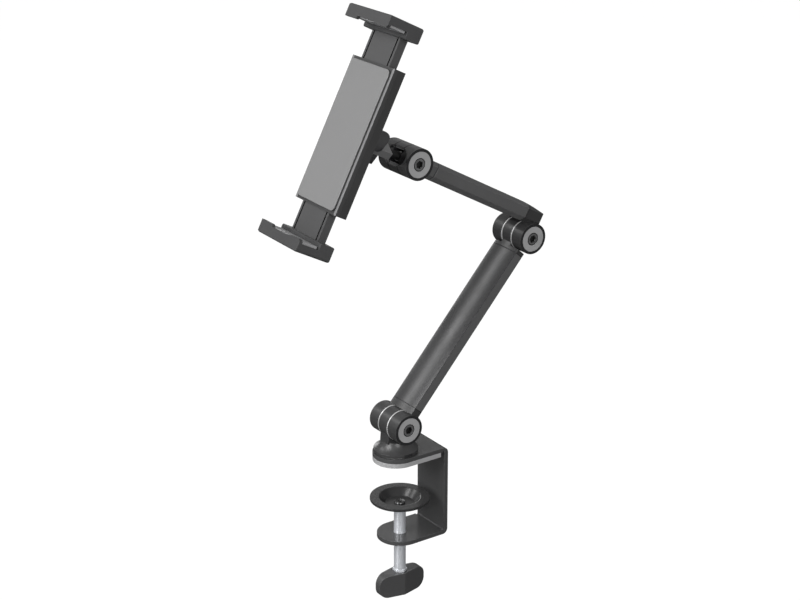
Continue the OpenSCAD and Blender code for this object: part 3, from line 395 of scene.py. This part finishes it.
# Knuckle hardware: turned bright washers in the seams, grey nylon rings in the
# barrels' ends, and dark M6 bolts and nuts through the knuckles. Each bolt's
# head has shadow round its rim and round its open socket.
bolt_edge = 0.0007
head_rim = 0.00435
socket_reach = 0.00295
head_face = 0.0183
face_lean = 0.999
shadow_line = 0.0004
washer_steel = coated("washer_steel", (0.80, 0.80, 0.80), 0.45, grain=500.0, depth=0.00001, edge=0.0,
                      cloud=0.3, Metallic=0.55, Anisotropic=0.5)
ring_nylon = coated("ring_nylon", (0.35, 0.35, 0.353), 0.5, grain=1200.0, depth=0.00006, edge=0.15, cloud=0.3)
bolt_black = coated("bolt_black", (0.33, 0.33, 0.335), 0.4, grain=800.0, depth=0.00001, edge=0.6,
                    cloud=0.3, Metallic=0.8)


def finished(finish, *nodes):
    """Gives pieces that keep their plain form their finish."""
    for name in nodes:
        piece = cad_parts[name]
        piece.data.materials.clear()
        piece.data.materials.append(finish)


def rim_or_socket(face, hub):
    """Whether a face of a bolt is on its head's rim or inside its socket."""
    radius = math.hypot(face.center.y - hub.y, face.center.z - hub.z)
    return radius > head_rim or (radius < socket_reach and abs(face.center.x) < head_face)


def shadow_lined(bolt):
    """Narrow dark lines along the edges of the head's flat face."""
    head = bmesh.new()
    head.from_mesh(bolt.data)
    flats = [face for face in head.faces if face.material_index == 0 and abs(face.normal.x) > face_lean
             and abs(face.calc_center_median().x) > head_face]
    lines = bmesh.ops.inset_region(head, faces=flats, thickness=shadow_line, use_even_offset=True)
    for face in lines["faces"]:
        face.material_index = 1
    head.to_mesh(bolt.data)
    head.free()


finished(washer_steel, "turret_washer", "shoulder_washers", "elbow_washers")
finished(ring_nylon, "shoulder_end_rings", "elbow_end_rings", "head_end_rings")
finished(bolt_black, "shoulder_nut", "elbow_nut")
for name, body in [
        ("shoulder_bolt", "lower_arm"),
        ("elbow_bolt", "upper_arm"),
        ("head_clamp_screws", "upper_arm")]:
    low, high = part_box(name)
    hub = (Vector(low) + Vector(high)) / 2
    bolt = softened(name, body, bolt_black, bolt_edge, segments=3)
    # painted shade round the head's rim and inside its socket
    painted(bolt, recess_shade, lambda face: rim_or_socket(face, hub))
    shadow_lined(bolt)

# Ball head: a polished steel ball between two dark nylon cups, with the neck's
# stem through it, its part in the barrel's mouth painted near-black as shade.
# The neck's flat link and the pivot pin are dark plated steel.
neck_edge = 0.0004
stem_reach = 0.0166
ball_low, ball_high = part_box("head_ball")
ball_middle = (Vector(ball_low) + Vector(ball_high)) / 2
ball_chrome = coated("ball_chrome", (0.55, 0.55, 0.55), 0.16, grain=200.0, depth=0.000004, edge=0.0,
                     Metallic=1.0)
cup_nylon = coated("cup_nylon", (0.012, 0.012, 0.013), 0.4, grain=900.0, depth=0.00003, edge=0.0)
neck_plate = coated("neck_plate", (0.30, 0.30, 0.303), 0.36, grain=500.0, depth=0.00001, edge=0.4,
                    Metallic=0.6)
finished(ball_chrome, "head_ball")
finished(cup_nylon, "ball_cups")
finished(neck_plate, "pivot_pin")
neck = softened("neck_link", "neck", neck_plate, neck_edge)
# painted shade on the stem inside the barrel's mouth
painted(neck, recess_shade, lambda face: (face.center - ball_middle).length < stem_reach)

# Swivel: the fork and its flange are one aluminium casting, held on the cradle
# by a ring with four screws. Both are powder coated like the arms.
swivel_edge = 0.0004
swivel_powder = coated("swivel_powder", (0.040, 0.040, 0.041), 0.38, grain=700.0, depth=0.00004, edge=0.4)
softened("swivel_rotor", "fork", swivel_powder, swivel_edge)
softened("swivel_plate", "cradle", swivel_powder, swivel_edge)

# Cradle: a two-part case moulded in black ABS with a fine spark texture. The
# front half is a little lighter, has a pale painted highlight along each long
# side, and carries a glued mat of grey silicone whose edge is painted dark as shade.
across = Vector((0.9952274, -0.0864783, 0.0452098))
outward = Vector((-0.0975829, -0.8819741, 0.4610849))
middle = Vector((-0.0057964, -0.0428520, 0.2793920))
case_edge = 0.0004
frame_edge = 0.0003
mat_round = 0.0006
border_highlight_line = 0.0296
border_highlight_lean = 0.6
mat_lean = 0.4
case_abs = coated("case_abs", (0.032, 0.032, 0.0323), 0.46, grain=1300.0, depth=0.00005, edge=0.35)
frame_abs = coated("frame_abs", (0.040, 0.040, 0.0405), 0.48, grain=1300.0, depth=0.00005, edge=0.3)
border_highlight = coated("border_highlight", (0.20, 0.20, 0.203), 0.5, grain=1300.0, depth=0.00004, edge=0.0)
mat_edge_shade = coated("mat_edge_shade", (0.05, 0.05, 0.051), 0.7, grain=1500.0, depth=0.00004, edge=0.0)
face_silicone = coated("face_silicone", (0.205, 0.205, 0.206), 0.7, grain=1500.0, depth=0.00004, edge=0.1,
                       cloud=0.06)
softened("cradle_rear_housing", "cradle", case_abs, case_edge)
case_front = softened("cradle_front_frame", "cradle", frame_abs, frame_edge)
face_mat = softened("cradle_pad", "cradle", face_silicone, mat_round, segments=3)
scored(case_front, [middle + across * side * border_highlight_line for side in (-1, 1)], across)
# painted highlight along the front's two long borders
painted(case_front, border_highlight, lambda face: abs((face.center - middle).dot(across)) > border_highlight_line
        and face.normal.dot(outward) > border_highlight_lean)
# painted shade on the mat's edge
painted(face_mat, mat_edge_shade, lambda face: face.normal.dot(outward) < mat_lean)

# Sliders and jaws: ABS like the case, a little lighter, the jaws with rounder
# edges. Each slide's two grooves are painted near-black as shade, and each jaw
# has a strip of light grey rubber glued into its channel.
slide_edge = 0.00025
jaw_edge = 0.0006
strip_edge = 0.0004
groove_near = 0.0169
groove_far = 0.0191
groove_top = -0.0013
groove_floor = -0.0027
slide_abs = coated("slide_abs", (0.066, 0.066, 0.067), 0.44, grain=1300.0, depth=0.00004, edge=0.35)
jaw_abs = coated("jaw_abs", (0.050, 0.050, 0.051), 0.5, grain=1300.0, depth=0.00005, edge=0.4)
groove_shade = coated("groove_shade", (0.006, 0.006, 0.006), 0.7, grain=1300.0, depth=0.00004, edge=0.0)
strip_rubber = coated("strip_rubber", (0.30, 0.30, 0.305), 0.75, grain=1500.0, depth=0.00006, edge=0.0)


def in_groove(face):
    """Whether a face of a slide lies in one of its two grooves."""
    offset = face.center - middle
    aside = abs(offset.dot(across))
    return groove_near < aside < groove_far and groove_floor < offset.dot(outward) < groove_top


for side in ("upper", "lower"):
    slide = softened(side + "_slider", side + "_grip", slide_abs, slide_edge)
    # painted shade in the slide's two grooves
    painted(slide, groove_shade, in_groove)
    softened(side + "_jaw", side + "_grip", jaw_abs, jaw_edge, segments=3)
    softened(side + "_jaw_strip", side + "_grip", strip_rubber, strip_edge)

# Pinion: natural acetal with a washer of the same, on a stub inside the case,
# between the racks of the two slides.
gear_acetal = coated("gear_acetal", (0.68, 0.68, 0.65), 0.45, grain=900.0, depth=0.00003, edge=0.0)
finished(gear_acetal, "jaw_pinion", "pinion_washer")

# Hidden fasteners: the turret's bolt, the ball's clip and the small screws of
# the case, the swivel and the jaws, all zinc plated like the clamp screw.
finished(zinc, "turret_bolt", "neck_clip", "housing_screws", "swivel_screws", "upper_jaw_screws",
         "lower_jaw_screws")

# Floor: a sheet well under the clamp. The camera sees it as white paper, with
# the object's shadow on it, and the object sees it as a dark grey sheet.
floor_reach = 30.0
floor_height = -0.22
floor_mesh = bpy.data.meshes.new("floor")
floor_shape = bmesh.new()
bmesh.ops.create_grid(floor_shape, x_segments=4, y_segments=4, size=floor_reach)
floor_shape.to_mesh(floor_mesh)
floor_shape.free()
floor = bpy.data.objects.new("floor", floor_mesh)
floor.location.z = floor_height
bpy.context.scene.collection.objects.link(floor)
paper = bpy.data.materials.new("floor_paper")
paper.use_nodes = True
tree = paper.node_tree
tree.nodes.clear()
sheet = add(tree, "BsdfDiffuse", Color=(0.07, 0.07, 0.07, 1))
glow = add(tree, "Emission", Color=(1, 1, 1, 1), Strength=0.97)
total = add(tree, "AddShader")
seen = add(tree, "LightPath")
part = add(tree, "MixShader")
end = add(tree, "OutputMaterial")
tree.links.new(sheet.outputs[0], total.inputs[0])
tree.links.new(glow.outputs[0], total.inputs[1])
tree.links.new(seen.outputs["Is Camera Ray"], part.inputs[0])
tree.links.new(sheet.outputs[0], part.inputs[1])
tree.links.new(total.outputs[0], part.inputs[2])
tree.links.new(part.outputs[0], end.inputs["Surface"])
floor_mesh.materials.append(paper)

# Light: a grey room that is darkest behind the object, with a large soft lamp in
# front, a weaker one on each side, a low one and two behind. The camera sees the
# room as white.
away = (-0.766, 0.532, -0.36)
lit_point = Vector((0, 0.03, 0.14))
world = bpy.data.worlds.new("studio")
bpy.context.scene.world = world
world.use_nodes = True
room = world.node_tree
room.nodes.clear()
air = add(room, "Background", Color=(1, 1, 1, 1))
white = add(room, "Background", Color=(1, 1, 1, 1), Strength=1.0)
ray = add(room, "LightPath")
pick = add(room, "MixShader")
sky = add(room, "OutputWorld")
direction = add(room, "TexCoord")
depth = add(room, "VectorMath", operation="DOT_PRODUCT")
depth.inputs[1].default_value = away
dim = add(room, "MapRange", From_Min=0.1, From_Max=0.85, To_Min=0.42, To_Max=0.08)
room.links.new(direction.outputs["Generated"], depth.inputs[0])
room.links.new(depth.outputs["Value"], dim.inputs["Value"])
room.links.new(dim.outputs["Result"], air.inputs["Strength"])
room.links.new(ray.outputs["Is Camera Ray"], pick.inputs[0])
room.links.new(air.outputs[0], pick.inputs[1])
room.links.new(white.outputs[0], pick.inputs[2])
room.links.new(pick.outputs[0], sky.inputs["Surface"])
for name, place, size, power in [
        ("key", (0.0, -1.9, 1.3), 1.3, 34.0),
        ("side", (-1.4, -1.15, 1.4), 0.7, 6.0),
        ("fill", (2.0, -0.6, 0.8), 1.0, 21.0),
        ("low", (0.5, -2.0, 0.05), 1.0, 10.0),
        ("rear", (-2.1, 0.7, 0.1), 1.4, 14.0),
        ("rim", (-1.6, 1.3, 1.0), 1.0, 0.8)]:
    lamp = bpy.data.lights.new(name, "AREA")
    lamp.shape = "DISK"
    lamp.size = size
    lamp.energy = power
    stand = bpy.data.objects.new(name, lamp)
    stand.location = place
    stand.rotation_euler = (lit_point - Vector(place)).to_track_quat("-Z", "Y").to_euler()
    bpy.context.scene.collection.objects.link(stand)

# Camera: where the photograph was taken from, with its long lens. The distance
# and the lens are the ones that fit the object's measured edges.
azimuth = math.radians(55.22)
elevation = math.radians(21.11)
camera_place = (1.18909, -0.82166, 0.69600)
focal_pixels = 1969.37
picture_pixels = 800
sensor_width = 36.0
right = Vector((math.cos(azimuth), math.sin(azimuth), 0))
back = Vector((math.sin(azimuth) * math.cos(elevation), -math.cos(azimuth) * math.cos(elevation),
               math.sin(elevation)))
up = back.cross(right)
lens = bpy.data.cameras.new("camera")
lens.sensor_width = sensor_width
lens.lens = sensor_width * focal_pixels / picture_pixels
camera = bpy.data.objects.new("camera", lens)
camera.matrix_world = Matrix.Translation(camera_place) @ Matrix((right, up, back)).transposed().to_4x4()
bpy.context.scene.collection.objects.link(camera)
bpy.context.scene.camera = camera
bpy.context.scene.view_settings.view_transform = "Standard"
